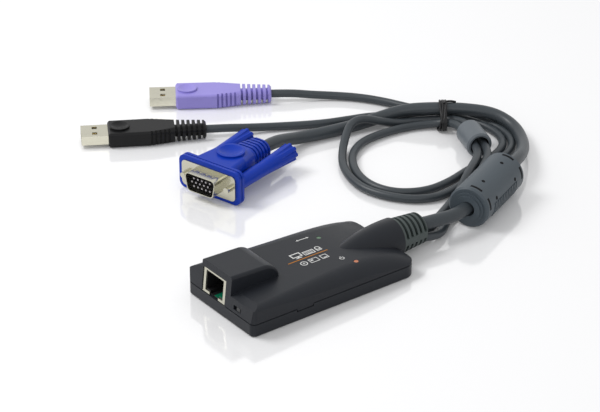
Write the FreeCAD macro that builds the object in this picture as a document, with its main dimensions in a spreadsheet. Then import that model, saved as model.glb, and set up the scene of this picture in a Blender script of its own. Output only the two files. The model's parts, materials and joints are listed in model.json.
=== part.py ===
import FreeCAD, Part
import Sketcher
import math
import os
import re

# KVM adapter module: a low moulded housing with an RJ-45 jack at the front and a
# domed rear from which one VGA cord and two USB cords leave through a strain relief.
# Millimetres. Origin at the bottom centre of the housing, +X from the jack face
# towards the cords, +Y to the left when looking along +X, +Z up.

Vec = FreeCAD.Vector
doc = FreeCAD.newDocument("kvm_adapter")
sheet = doc.addObject("Spreadsheet::Sheet", "sizes")

sizes = {
    # housing
    "case_length": 86.5, "case_width": 47.0, "part_line": 5.8, "wall": 2.0,
    "floor_thick": 1.8, "front_corner": 2.5, "rear_corner": 5.5, "foot_round": 1.0,
    "lip_height": 1.2, "lip_thick": 0.95, "lip_play": 0.05,
    "seam_gap": 0.4, "seam_depth": 0.45,
    "tab_setback": 22.95, "tab_length": 7.9, "tab_depth": 0.95, "tab_drop": 1.1,
    "front_lean": 6.0, "brow_slope": 18.0, "brow_start": 12.0, "brow_side": -1.0,
    "blade_depth": 12.0, "blade_height": 30.0, "brow_reach": 20.0, "brow_rise": 10.0,
    # stations of the roof, front to rear: side wall top, crown height, crown to side
    "nose_wall": 11.9, "nose_crown": 13.45, "nose_shoulder": 3.0,
    "brow_at": 0.254, "brow_wall": 10.4, "brow_crown": 13.45, "brow_shoulder": 5.1,
    "waist_at": 0.0, "waist_wall": 9.2, "waist_crown": 13.3, "waist_shoulder": 7.3,
    "slope_at": 0.231, "slope_wall": 8.3, "slope_crown": 12.8, "slope_shoulder": 8.5,
    "drop_at": 0.393, "drop_wall": 6.9, "drop_crown": 10.8, "drop_shoulder": 8.5,
    "rear_wall": 6.2, "rear_crown": 7.2, "rear_shoulder": 8.5,
    # raised box over the jack
    "box_right": -6.9, "box_left": 14.1, "box_front_top": 20.8, "box_rear_top": 20.1,
    "box_length": 25.95, "box_flat": 19.05, "box_round_end": 14.4,
    "box_round": 8.0, "box_edge": 1.4, "box_root": 9.0,
    # rear dome
    "axis_side": -3.0, "dome_axis": 8.5, "dome_lead": 26.25, "dome_overhang": 3.25,
    "dome_tip_radius": 4.2, "dome_end_radius": 8.75, "dome_bow": 85.0,
    "dome_wall": 1.6, "dome_rear_wall": 2.2,
    # jack
    "jack_centre": 5.0, "jack_width": 16.2, "jack_height": 11.2, "jack_setback": 0.25,
    "jack_depth": 21.5, "shield_thick": 0.3, "face_thick": 0.5, "lean_gap": 0.35,
    "port_width": 11.7, "port_height": 8.0, "port_depth": 13.5, "port_rise": 1.7,
    "key_width": 6.2, "key_drop": 1.2, "face_width": 12.4, "face_height": 9.2,
    "jack_play": 0.1, "wire_pitch": 1.02, "wire_width": 0.45, "wire_thick": 0.35,
    "wire_reach": 9.0, "wire_slope": 15.0,
    # board and what stands on it
    "board_thick": 1.6, "board_setback": 2.05, "board_end_gap": 10.25,
    "board_side_gap": 3.1, "post_setback": 10.25, "post_end_gap": 16.25,
    "post_side_gap": 5.9, "post_radius": 2.5, "pin_radius": 1.2, "pin_play": 0.1,
    "press_post": 2.2, "light_radius": 1.0, "light_play": 0.08, "light_top": 12.9,
    "online_x": 15.5, "online_y": 9.5, "power_x": 16.0, "power_y": -16.0,
    "led_length": 3.2, "led_width": 1.8, "led_height": 0.8,
    "chip_side": 14.0, "chip_height": 1.4, "small_chip_side": 9.0,
    "coil_length": 13.0, "coil_width": 8.4, "coil_height": 4.4,
    "crystal_length": 11.4, "crystal_width": 4.8, "crystal_height": 3.4,
    "header_length": 5.0, "header_width": 18.0, "header_height": 2.4,
    # recovery slide switch
    "switch_y": -12.0, "switch_z": 8.6, "window_width": 5.0, "window_height": 2.0,
    "switch_width": 8.2, "switch_depth": 3.4, "switch_height": 4.4,
    "knob_width": 2.2, "knob_height": 1.8, "knob_reach": 1.7, "knob_play": 0.1,
    "switch_travel": 1.5,
    # strain relief
    "boot_length": 14.4, "boot_root": 8.2, "boot_tip": 7.1, "boot_neck": 5.0,
    "neck_play": 0.1, "neck_length": 2.2, "collar": 6.4, "collar_thick": 2.2,
    "boot_axis": 8.5, "groove_width": 1.3, "groove_pitch": 2.6, "groove_start": 1.5,
    "groove_floor": 5.3, "spine": 3.2, "boot_edge": 0.8,
    # cords
    "video_cord_dia": 6.0, "usb_cord_dia": 3.9,
    # ferrites
    "big_radius": 9.75, "big_length": 41.5, "big_bore": 3.45, "big_core": 7.6,
    "big_core_length": 33.0, "big_yaw": 24.8, "big_x": 86.8, "big_y": -4.7,
    "big_rim": 8.95, "big_outer_ring": 7.4, "big_inner_ring": 6.1,
    "big_step": 0.7, "latch_row": 29.0, "latch_middle": 44.0, "latch_slot_at": 3.9,
    "latch_dot_at": 10.9, "latch_slot_width": 0.9, "latch_slot_length": 5.0,
    "latch_dot": 0.75, "latch_depth": 1.1,
    "small_radius": 6.1, "small_length": 16.0, "small_bore": 4.55, "small_core": 5.4,
    "small_core_length": 12.0, "small_yaw": 69.6, "small_x": 135.0, "small_y": 43.0,
    "small_rise": 6.4, "small_edge": 0.8,
    # tie
    "tie_width": 2.4, "tie_thick": 0.6, "tie_x": 144.3, "tie_y": 80.5, "tie_yaw": 143.0,
    # the dished disc for the thumb, as shares of its radius
    "disc_rise": 0.9, "dish_bow": 1.85, "dish_share": 0.2,
    # usb plugs
    "usb_length": 59.0, "usb_shell_out": 12.7, "usb_shell_in": 4.0, "usb_shell_width": 12.0,
    "usb_shell_height": 4.5, "usb_metal": 0.3, "usb_body_width": 15.5,
    "usb_body_height": 7.4, "usb_body_edge": 1.3, "usb_taper_start": 26.0,
    "usb_waist_at": 14.0, "usb_waist_width": 11.8, "usb_waist_edge": 2.6,
    "usb_tail_width": 9.4, "usb_tail_height": 7.6, "usb_tail_edge": 3.2, "usb_nose": 0.8,
    "usb_axis": 3.9, "usb_disc": 4.8, "usb_disc_at": 40.8, "usb_core": 2.9,
    "rib_slot": 1.1, "rib_pitch": 2.45, "rib_start": 14.9,
    "comb_start": 26.5, "comb_pitch": 2.1, "comb_slot": 0.9, "comb_depth": 1.4,
    "usb_tongue_thick": 1.9, "usb_hole": 2.4, "usb_contact": 1.0,
    "black_x": 45.7, "black_y": 137.5, "black_yaw": -30.0,
    "purple_x": 92.8, "purple_y": 149.7, "purple_yaw": -33.2,
    # vga plug
    "vga_x": 49.5, "vga_y": 98.1, "vga_z": 8.45, "vga_yaw": 16.0, "vga_length": 39.0,
    "flange_width": 35.0, "flange_height": 16.5, "flange_thick": 3.4,
    "flange_corner": 3.2, "flange_groove": 0.6, "flange_groove_at": 1.4,
    "plate_width": 30.8, "plate_height": 12.5, "plate_thick": 0.8, "plate_corner": 2.2,
    "dshell_out": 6.0, "dshell_width": 17.8, "dshell_height": 9.2, "dshell_slope": 0.8,
    "dshell_metal": 0.4, "dshell_corner": 2.2, "dimple": 0.8, "dimple_depth": 0.2,
    "dimple_pitch": 3.5, "dimple_at": 3.1, "hood_width": 23.0, "hood_height": 15.5,
    "hood_edge": 2.4, "hood_waist_at": 24.0, "hood_waist_width": 20.0,
    "hood_neck_at": 14.0, "hood_neck_width": 14.5, "hood_neck_height": 13.5,
    "hood_neck_edge": 4.2, "hood_tail_width": 12.2, "hood_tail_height": 11.6,
    "hood_tail_edge": 4.8, "hood_nose": 0.9, "hood_core": 4.3, "hood_rib_start": 12.6,
    "hood_rib_slot": 1.0, "hood_disc": 6.6, "hood_disc_at": 22.3,
    "screw_side": 12.5, "screw_radius": 1.6, "screw_play": 0.05, "screw_out": 3.0,
    "thread_radius": 1.4, "shank_length": 24.0, "sleeve_radius": 3.4,
    "sleeve_length": 20.0, "sleeve_play": 0.35, "sleeve_gap": 0.2, "grip_radius": 4.5,
    "grip_length": 20.4, "flute": 1.2, "flute_out": 0.45,
    "pin_length": 5.0, "contact_radius": 0.45, "contact_pitch": 2.29, "row_pitch": 1.98,
}

# places that follow from the sizes
places = {
    "dome_tip": "case_length / 2 - dome_lead",
    "dome_end": "case_length / 2 + dome_overhang",
    "box_rear": "-case_length / 2 + box_length",
    "box_round_start": "-case_length / 2 + box_flat",
    "tab_start": "-case_length / 2 + tab_setback",
    "jack_front": "-case_length / 2 + jack_setback",
    "board_front": "-case_length / 2 + board_setback",
    "board_rear": "case_length / 2 - board_end_gap",
    "board_half": "case_width / 2 - board_side_gap",
    "post_x_front": "-case_length / 2 + post_setback",
    "post_x_rear": "case_length / 2 - post_end_gap",
    "post_side": "case_width / 2 - post_side_gap",
    "brow_width": "case_width - 2 * brow_side",
}

for row, (word, value) in enumerate(sizes.items(), start=1):
    sheet.set("A%d" % row, word)
    sheet.set("B%d" % row, "%g" % value)
    sheet.setAlias("B%d" % row, word)
doc.recompute()

parts = {}


def link(text):
    """the same formula with each word pointing at its cell of the sheet,
    and each place written out"""
    def swap(found):
        word = found.group(0)
        if word in places:
            return "(" + link(places[word]) + ")"
        return "sizes." + word if word in sizes else word
    return re.sub(r"[a-z_]+", swap, str(text))


def number(text):
    """the value of a formula now"""
    found = sheet.evalExpression(link(text))
    return float(getattr(found, "Value", found))


def bind(item, prop, text):
    item.setExpression(prop, link(text))


def locate(item, x=0, y=0, z=0):
    for axis, text in zip("xyz", (x, y, z)):
        bind(item, "Placement.Base." + axis, text)
    return item


def keep(name, item):
    """names a finished sub-part"""
    item.Label = name
    parts[name] = item
    return item


# ---- primitives and booleans ----

def slab(name, x, y, z):
    """a box between two formulas along each axis"""
    item = doc.addObject("Part::Box", name)
    for prop, (low, high) in zip(("Length", "Width", "Height"), (x, y, z)):
        bind(item, prop, "(%s) - (%s)" % (high, low))
    return locate(item, x[0], y[0], z[0])


def rod(name, radius, length, x, y, z, along="z"):
    item = doc.addObject("Part::Cylinder", name)
    bind(item, "Radius", radius)
    bind(item, "Height", length)
    turn = {"x": FreeCAD.Rotation(Vec(0, 1, 0), 90), "y": FreeCAD.Rotation(Vec(1, 0, 0), -90)}
    if along in turn:
        item.Placement = FreeCAD.Placement(Vec(), turn[along])
    return locate(item, x, y, z)


def cone(name, first, last, length, x, y, z):
    """a frustum along +X"""
    item = doc.addObject("Part::Cone", name)
    bind(item, "Radius1", first)
    bind(item, "Radius2", last)
    bind(item, "Height", length)
    item.Placement = FreeCAD.Placement(Vec(), FreeCAD.Rotation(Vec(0, 1, 0), 90))
    return locate(item, x, y, z)


def ball(name, radius, x, y, z):
    item = doc.addObject("Part::Sphere", name)
    bind(item, "Radius", radius)
    return locate(item, x, y, z)


def join(name, items):
    item = doc.addObject("Part::MultiFuse", name)
    item.Shapes = items
    item.Refine = True
    return item


def cut(name, base, tools):
    item = doc.addObject("Part::Cut", name)
    item.Base = base
    item.Tool = tools[0] if len(tools) == 1 else join(name + "_tools", tools)
    return item


def common(name, items):
    item = doc.addObject("Part::MultiCommon", name)
    item.Shapes = items
    return item


# ---- sketches and part design features ----

def plane_of(body, role):
    return [f for f in body.Origin.OriginFeatures if f.Role == role][0]


def sketch_on(body, role, name, offset="0"):
    made = body.newObject("Sketcher::SketchObject", name)
    made.AttachmentSupport = [(plane_of(body, role), "")]
    made.MapMode = "FlatFace"
    if offset != "0":
        bind(made, "AttachmentOffset.Base.z", offset)
    return made


def pin(made, geo, end, across, up):
    """holds a point of a sketch at two formulas"""
    for kind, axis, text in (("DistanceX", -2, across), ("DistanceY", -1, up)):
        value = number(text)
        if str(text) == "0":
            made.addConstraint(Sketcher.Constraint("PointOnObject", geo, end, axis))
            continue
        spot = made.addConstraint(Sketcher.Constraint(kind, -1, 1, geo, end, value))
        made.setExpression("Constraints[%d]" % spot, link(text))


def loop(made, points):
    """a closed outline; a third entry is the radius of the arc to the next point,
    with its centre on the left if positive and on the right if negative"""
    spots = [Vec(number(p[0]), number(p[1]), 0) for p in points]
    count = len(points)
    ends = []
    for i, point in enumerate(points):
        a, b = spots[i], spots[(i + 1) % count]
        if len(point) < 3:
            geo = made.addGeometry(Part.LineSegment(a, b), False)
            ends.append((geo, 1, 2))
            continue
        radius = number(point[2])
        size = abs(radius)
        chord = b - a
        half = chord.Length / 2
        left = Vec(-chord.y, chord.x, 0).normalize()
        side = 1 if radius > 0 else -1
        centre = (a + b) * 0.5 + left * (side * math.sqrt(max(size ** 2 - half ** 2, 0)))
        first, last = (a, b) if side > 0 else (b, a)
        start = math.atan2(first.y - centre.y, first.x - centre.x)
        stop = math.atan2(last.y - centre.y, last.x - centre.x)
        while stop <= start:
            stop += 2 * math.pi
        circle = Part.Circle(centre, Vec(0, 0, 1), size)
        geo = made.addGeometry(Part.ArcOfCircle(circle, start, stop), False)
        ends.append((geo, 1, 2) if side > 0 else (geo, 2, 1))
    for i, point in enumerate(points):
        geo, begin, _ = ends[i]
        before, _, finish = ends[i - 1]
        made.addConstraint(Sketcher.Constraint("Coincident", before, finish, geo, begin))
        pin(made, geo, begin, point[0], point[1])
        if len(point) == 3:
            spot = made.addConstraint(
                Sketcher.Constraint("Radius", geo, abs(number(point[2]))))
            made.setExpression("Constraints[%d]" % spot, link(str(point[2]).lstrip("-")))


def ring(made, across, up, radius):
    centre = Vec(number(across), number(up), 0)
    geo = made.addGeometry(Part.Circle(centre, Vec(0, 0, 1), number(radius)), False)
    pin(made, geo, 3, across, up)
    spot = made.addConstraint(Sketcher.Constraint("Radius", geo, number(radius)))
    made.setExpression("Constraints[%d]" % spot, link(radius))


def new_body(name):
    return doc.addObject("PartDesign::Body", name)


def pad(body, made, length, reverse=False, middle=False):
    item = body.newObject("PartDesign::Pad", made.Name + "_pad")
    item.Profile = made
    bind(item, "Length", length)
    item.Reversed = reverse
    item.Midplane = middle
    body.Tip = item
    return item


def pocket(body, made, length, reverse=False, middle=False):
    item = body.newObject("PartDesign::Pocket", made.Name + "_pocket")
    item.Profile = made
    bind(item, "Length", length)
    item.Reversed = reverse
    item.Midplane = middle
    body.Tip = item
    return item


def spin(body, made, axis="H_Axis"):
    item = body.newObject("PartDesign::Revolution", made.Name + "_turn")
    item.Profile = made
    item.ReferenceAxis = (made, [axis])
    item.Angle = 360
    body.Tip = item
    return item


def loft(body, sections, ruled=False):
    item = body.newObject("PartDesign::AdditiveLoft", body.Name + "_loft")
    item.Profile = sections[0]
    item.Sections = sections[1:]
    item.Ruled = ruled
    body.Tip = item
    return item


def soften(body, feature, radius, wanted):
    """rounds the edges of a feature that the test picks"""
    doc.recompute()
    names = ["Edge%d" % (i + 1) for i, e in enumerate(feature.Shape.Edges) if wanted(e)]
    item = body.newObject("PartDesign::Fillet", feature.Name + "_round")
    item.Base = (feature, names)
    bind(item, "Radius", radius)
    body.Tip = item
    return item


def rounded_face(body, name, at, width, height, radius):
    """a section across X with four round corners"""
    made = sketch_on(body, "YZ_Plane", name, at)
    w, z, r = "(%s) / 2" % width, "(%s) / 2" % height, "(%s)" % radius
    loop(made, [
        ("-%s + %s" % (w, r), "-%s" % z), ("%s - %s" % (w, r), "-%s" % z, r),
        (w, "-%s + %s" % (z, r)), (w, "%s - %s" % (z, r), r),
        ("%s - %s" % (w, r), z), ("-%s + %s" % (w, r), z, r),
        ("-%s" % w, "%s - %s" % (z, r)), ("-%s" % w, "-%s + %s" % (z, r), r)])
    return made


def moulded_form(name, faces):
    """a body whose flat-sided section changes from face to face along X"""
    body = new_body(name)
    loft(body, [rounded_face(body, "%s_face_%d" % (name, i), *face)
                for i, face in enumerate(faces)], ruled=True)
    return body


def turned(name, points):
    """a solid of revolution about its own X axis"""
    body = new_body(name)
    made = sketch_on(body, "XY_Plane", name + "_profile")
    loop(made, points)
    spin(body, made)
    return body


# ---- housing ----

def case_outline(inset):
    """plan of the housing, small corners at the front and larger ones at the rear"""
    x = "case_length / 2 - (%s)" % inset
    y = "case_width / 2 - (%s)" % inset
    f = "(front_corner - min(%s; front_corner - 0.3))" % inset
    r = "(rear_corner - min(%s; rear_corner - 0.3))" % inset
    return [
        ("-(%s) + %s" % (x, f), "-(%s)" % y), ("%s - %s" % (x, r), "-(%s)" % y, r),
        (x, "-(%s) + %s" % (y, r)), (x, "%s - %s" % (y, r), r),
        ("%s - %s" % (x, r), y), ("-(%s) + %s" % (x, f), y, f),
        ("-(%s)" % x, "%s - %s" % (y, f)), ("-(%s)" % x, "-(%s) + %s" % (y, f), f),
    ]


stations = [
    ("nose", "-case_length / 2"), ("brow", "-case_length * brow_at"),
    ("waist", "case_length * waist_at"), ("slope", "case_length * slope_at"),
    ("drop", "case_length * drop_at"), ("rear", "case_length / 2"),
]


def roof_form(name, inset, base):
    """the arched roof, or its hollow when it is set in by the wall thickness"""
    body = new_body(name)
    sections = []
    for word, at in stations:
        made = sketch_on(body, "YZ_Plane", name + "_" + word, at)
        side = "case_width / 2 - (%s)" % inset
        top = "%s_crown - (%s)" % (word, inset)
        edge = "%s_wall - (%s) * 0.6" % (word, inset)
        flat = "case_width / 2 - %s_shoulder - (%s) * 0.6" % (word, inset)
        run, rise = "(%s - (%s))" % (side, flat), "(%s - (%s))" % (top, edge)
        bow = "(%s * %s + %s * %s) / (2 * %s)" % (run, run, rise, rise, rise)
        loop(made, [("-(%s)" % side, base), (side, base), (side, edge, bow),
                    (flat, top), ("-(%s)" % flat, top, bow), ("-(%s)" % side, edge)])
        sections.append(made)
    loft(body, sections)
    return body


def plan_prism(name, inset, low, high):
    body = new_body(name)
    made = sketch_on(body, "XY_Plane", name + "_plan", low)
    loop(made, case_outline(inset))
    pad(body, made, "(%s) - (%s)" % (high, low))
    return body


def dome_form(name, inset, start, end):
    """the bulge round the strain relief, turned about the cord axis"""
    tip = "dome_tip_radius - (%s)" % inset
    wide = "dome_end_radius - (%s)" % inset
    body = turned(name, [(start, 0), (end, 0), (end, wide, "dome_bow"), (start, tip)])
    return locate(body, "dome_tip", "axis_side", "dome_axis")


dome_length = "dome_end - dome_tip"

# raised box: a side profile padded across, long edges rounded
box_body = new_body("jack_box")
box_side = sketch_on(box_body, "XZ_Plane", "jack_box_side", "-box_left")
loop(box_side, [
    ("-case_length / 2", "box_root"), ("box_rear", "box_root"),
    ("box_rear", "box_round_end", "box_round"), ("box_round_start", "box_rear_top"),
    ("-case_length / 2", "box_front_top")])
box_pad = pad(box_body, box_side, "box_left - box_right")
soften(box_body, box_pad, "box_edge",
       lambda e: e.BoundBox.YLength < 0.01 and e.BoundBox.ZMax > number("box_root") + 1
       and e.BoundBox.XMax > number("-case_length / 2 + 0.2"))

front_tilt = FreeCAD.Rotation(Vec(0, 1, 0), sizes["front_lean"])


def front_blade(name, depth):
    """a leaning block in front of the face"""
    item = doc.addObject("Part::Box", name)
    bind(item, "Length", "blade_depth")
    bind(item, "Height", "blade_height")
    bind(item, "Width", "case_width + 4")
    spot = front_tilt.multVec(Vec(-1, 0, 0))
    item.Placement = FreeCAD.Placement(Vec(), front_tilt)
    return locate(item, "-case_length / 2 + (%s) + (%g) * blade_depth" % (depth, spot.x),
                  "-case_width / 2 - 2", "part_line + (%g) * blade_depth" % spot.z)


brow_tilt = FreeCAD.Rotation(Vec(0, 1, 0), -sizes["brow_slope"])
brow_cut = doc.addObject("Part::Box", "brow_cut")
bind(brow_cut, "Length", "brow_reach")
bind(brow_cut, "Height", "brow_rise")
bind(brow_cut, "Width", "brow_width")
brow_cut.Placement = FreeCAD.Placement(Vec(), brow_tilt)
back = brow_tilt.multVec(Vec(-0.5, 0, 0))
locate(brow_cut, "-case_length / 2 + (%g) * brow_reach" % back.x, "-brow_width / 2",
       "brow_start + (%g) * brow_reach" % back.z)

roof = common("roof", [roof_form("roof_outer", "0", "part_line"),
                       plan_prism("roof_plan", "0", "part_line", "box_front_top")])
roof_cut = cut("roof_brow", roof, [brow_cut])
dome_top = common("dome_top", [
    dome_form("dome_outer", "0", "0", dome_length),
    slab("dome_upper", ("dome_tip - 2", "dome_end + 2"), ("-case_width", "case_width"),
         ("part_line", "part_line + 20"))])
roof_void = common("roof_void", [roof_form("roof_inner", "wall", "part_line - 3"),
                                 plan_prism("void_plan", "wall", "part_line - 3",
                                            "part_line + 12")])
dome_void = dome_form("dome_inner", "dome_wall", "5", dome_length + " - dome_rear_wall")
jack_void = slab("jack_void", ("-case_length / 2 - 2", "jack_front + jack_depth + jack_play"),
                 ("jack_centre - jack_width / 2 - jack_play",
                  "jack_centre + jack_width / 2 + jack_play"),
                 ("part_line - 3", "part_line + 0.3 + jack_height + jack_play"))
window = slab("window", ("-case_length / 2 - 2", "-case_length / 2 + wall + 1"),
              ("switch_y - window_width / 2", "switch_y + window_width / 2"),
              ("switch_z - window_height / 2", "switch_z + window_height / 2"))


def neck_hole(name):
    return rod(name, "boot_neck + neck_play", "12", "dome_end - 10", "axis_side",
               "boot_axis", "x")


def collar_hole(name):
    return rod(name, "collar + neck_play", "dome_end - dome_rear_wall - 38", "38",
               "axis_side", "boot_axis", "x")


lip_form = cut("lip_form", plan_prism("lip_plan", "wall - lip_thick",
                                      "part_line - lip_height", "part_line + 0.4"),
               [plan_prism("lip_hole", "wall", "part_line - lip_height - 1",
                           "part_line + 2")])
press_posts = []
for end, top in (("front", "12"), ("rear", "10.4")):
    for side in (-1, 1):
        press_posts.append(rod("press_%s_%d" % (end, side > 0), "press_post",
                               "%s - part_line - 0.35" % top, "post_x_" + end,
                               "%d * post_side" % side, "part_line + 0.35"))
shell = cut("shell", join("shell_outer", [roof_cut, box_body, dome_top, lip_form]),
            [roof_void, dome_void])
top_work = join("top_work", [shell] + press_posts)
pin_holes = [rod("%s_pin_hole_%d" % (end, side > 0), "pin_radius + pin_play", "1.4",
                 "post_x_" + end, "%d * post_side" % side, "part_line + 0.2")
             for end in ("front", "rear") for side in (-1, 1)]
light_holes = [rod(word + "_hole", "light_radius + light_play", "12", word + "_x",
                   word + "_y", "part_line + 2") for word in ("online", "power")]
# the seam between the covers shows as a groove, except at the dome and at the tab,
# where the top cover dips into a notch of the bottom one
tab_span = ("tab_start", "tab_start + tab_length")
tab_depth = ("-case_width / 2 - 1", "-case_width / 2 + tab_depth")
seam = cut("seam", plan_prism("seam_outer", "-1", "part_line - 0.1", "part_line + seam_gap"),
           [plan_prism("seam_inner", "seam_depth", "part_line - 1", "part_line + 2"),
            slab("seam_tab", ("tab_start - seam_gap", "tab_start + tab_length + seam_gap"),
                 tab_depth, ("part_line - 2", "part_line + 2")),
            slab("seam_dome", ("dome_end - 8", "dome_end + 2"),
                 ("axis_side - dome_end_radius", "axis_side + dome_end_radius"),
                 ("part_line - 2", "part_line + 2"))])
tab = slab("tab", tab_span, ("-case_width / 2", "-case_width / 2 + tab_depth"),
           ("part_line - tab_drop + seam_gap", "part_line + 1"))
keep("top_cover", cut("top_cover_form", join("top_tabbed", [top_work, tab]), [
    jack_void, window, neck_hole("top_neck"), collar_hole("top_collar"),
    front_blade("top_blade", "0"), seam] + pin_holes + light_holes))

# bottom cover: a tray with a rounded foot, board posts and the lower half of the dome
tray = new_body("tray")
tray_plan = sketch_on(tray, "XY_Plane", "tray_plan")
loop(tray_plan, case_outline("0"))
tray_pad = pad(tray, tray_plan, "part_line")
soften(tray, tray_pad, "foot_round", lambda e: e.BoundBox.ZMax < 0.01)
tray_void = sketch_on(tray, "XY_Plane", "tray_void", "floor_thick")
loop(tray_void, case_outline("wall"))
pocket(tray, tray_void, "part_line", reverse=True)
tray_step = sketch_on(tray, "XY_Plane", "tray_step", "part_line - lip_height - lip_play")
loop(tray_step, case_outline("wall - lip_thick - lip_play"))
pocket(tray, tray_step, "part_line", reverse=True)
dome_low = common("dome_low", [
    dome_form("dome_under", "0", "15", dome_length),
    slab("dome_lower", ("dome_tip", "dome_end + 2"), ("-case_width", "case_width"),
         ("0", "part_line"))])
posts = []
for end in ("front", "rear"):
    for side in (-1, 1):
        word = "%s_%d" % (end, side > 0)
        spot = ("post_x_" + end, "%d * post_side" % side)
        posts.append(rod("post_" + word, "post_radius",
                         "part_line - board_thick + 0.3 - floor_thick + 0.5",
                         spot[0], spot[1], "floor_thick - 0.5"))
        posts.append(rod("pin_" + word, "pin_radius", "part_line + 0.9 - floor_thick",
                         spot[0], spot[1], "floor_thick"))
tray_hollow = plan_prism("tray_hollow", "wall", "floor_thick", "part_line + 1")
step_hollow = plan_prism("step_hollow", "wall - lip_thick - lip_play",
                         "part_line - lip_height - lip_play", "part_line + 1")
low_keep = cut("dome_low_cut", dome_low, [tray_hollow, step_hollow])
tray_notch = slab("tray_notch", ("tab_start - seam_gap", "tab_start + tab_length + seam_gap"),
                  tab_depth, ("part_line - tab_drop", "part_line + 1"))
keep("bottom_cover", cut("bottom_cover_form", join("tray_full", [tray, low_keep] + posts), [
    neck_hole("low_neck"), collar_hole("low_collar"), tray_notch]))

# ---- board ----
board_top = "part_line + 0.3"
board_low = "part_line + 0.3 - board_thick"
board = new_body("board")
board_plan = sketch_on(board, "XY_Plane", "board_plan", board_low)
loop(board_plan, [("board_front", "-board_half"), ("board_rear", "-board_half"),
                  ("board_rear", "board_half"), ("board_front", "board_half")])
for end in ("front", "rear"):
    for side in (-1, 1):
        ring(board_plan, "post_x_" + end, "%d * post_side" % side, "pin_radius + pin_play")
pad(board, board_plan, "board_thick")
keep("circuit_board", board)


def chip(name, x, y, length, width, height):
    """a package on the board with its lower edge on the copper"""
    return keep(name, slab(name + "_block", ("%s - (%s) / 2" % (x, length),
                                             "%s + (%s) / 2" % (x, length)),
                           ("%s - (%s) / 2" % (y, width), "%s + (%s) / 2" % (y, width)),
                           (board_top, board_top + " + " + height)))


chip("video_chip", "0", "-4", "chip_side", "chip_side", "chip_height")
chip("interface_chip", "-15", "-13", "small_chip_side", "small_chip_side", "chip_height")
chip("isolation_transformer", "-8", "13", "coil_length", "coil_width", "coil_height")
chip("crystal", "15", "-4", "crystal_length", "crystal_width", "crystal_height")
chip("online_led", "online_x", "online_y", "led_length", "led_width", "led_height")
chip("power_led", "power_x", "power_y", "led_length", "led_width", "led_height")
for word in ("online", "power"):
    keep(word + "_light_pipe", rod(word + "_pipe", "light_radius",
                                   "light_top - (%s) - led_height" % board_top,
                                   word + "_x", word + "_y", board_top + " + led_height"))
header_low = "board_rear - header_length"
header_block = slab("header_block", (header_low, "board_rear"),
                    ("axis_side - header_width / 2", "axis_side + header_width / 2"),
                    (board_top, board_top + " + header_height"))
header_slot = slab("header_slot", (header_low + " + 1", "board_rear - 1"),
                   ("axis_side - header_width / 2 + 1", "axis_side + header_width / 2 - 1"),
                   (board_top + " + 0.8", board_top + " + 6"))
keep("cable_header", cut("header_form", header_block, [header_slot]))

# ---- jack ----
jack_low = board_top
jack_side = ("jack_centre - jack_width / 2", "jack_centre + jack_width / 2")
port_low = jack_low + " + port_rise"
port_top = port_low + " + port_height"
can = slab("can", ("jack_front", "jack_front + jack_depth"), jack_side,
           (jack_low, jack_low + " + jack_height"))
can_room = slab("can_room", ("jack_front - 1", "jack_front + jack_depth + 1"),
                ("jack_centre - jack_width / 2 + shield_thick",
                 "jack_centre + jack_width / 2 - shield_thick"),
                (jack_low + " - 1", jack_low + " + jack_height - shield_thick"))
can_void = cut("can_void", can_room, [front_blade("face_back", "lean_gap + face_thick")])
can_face = slab("can_face", ("jack_front - 2", "jack_front + 4"),
                ("jack_centre - face_width / 2", "jack_centre + face_width / 2"),
                (port_low + " - 0.6", port_low + " - 0.6 + face_height"))
can_foot = slab("can_foot", ("jack_front - 2", "jack_front + 4"),
                ("jack_centre - key_width / 2", "jack_centre + key_width / 2"),
                (jack_low + " - 1", port_low))
keep("rj45_shield", cut("shield_form", can, [can_void, can_face, can_foot,
                                             front_blade("shield_blade", "lean_gap")]))
insert = slab("insert", ("jack_front + shield_thick", "jack_front + jack_depth - 0.2"),
              ("jack_centre - jack_width / 2 + shield_thick",
               "jack_centre + jack_width / 2 - shield_thick"),
              (jack_low, jack_low + " + jack_height - shield_thick"))
port = slab("port", ("jack_front - 2", "jack_front + port_depth"),
            ("jack_centre - port_width / 2", "jack_centre + port_width / 2"),
            (port_low, port_top))
key = slab("key", ("jack_front - 2", "jack_front + port_depth"),
           ("jack_centre - key_width / 2", "jack_centre + key_width / 2"),
           (port_low + " - key_drop", port_low + " + 1"))
wire_root = slab("wire_root", ("jack_front + port_depth - 1.2", "jack_front + port_depth + 1"),
                 ("jack_centre - 4.2", "jack_centre + 4.2"),
                 (port_top + " - 1.1", port_top + " + 0.2"))
keep("rj45_housing", cut("insert_form", insert, [port, key, wire_root,
                                                 front_blade("insert_blade", "lean_gap + face_thick")]))
carrier = slab("carrier", ("jack_front + port_depth", "jack_front + port_depth + 1"),
               ("jack_centre - 4.2", "jack_centre + 4.2"),
               (port_top + " - 1.1", port_top + " + 0.2"))
wires = []
for i in range(8):
    wire = doc.addObject("Part::Box", "wire_%s" % "abcdefgh"[i])
    bind(wire, "Length", "wire_reach")
    bind(wire, "Width", "wire_width")
    bind(wire, "Height", "wire_thick")
    wire.Placement = FreeCAD.Placement(
        Vec(), FreeCAD.Rotation(Vec(0, 1, 0), 180 - sizes["wire_slope"]))
    locate(wire, "jack_front + port_depth + 0.4",
           "jack_centre + (%g) * wire_pitch - wire_width / 2" % (i - 3.5),
           port_top + " - 0.4")
    wires.append(wire)
keep("rj45_contacts", join("wires", [carrier] + wires))

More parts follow.
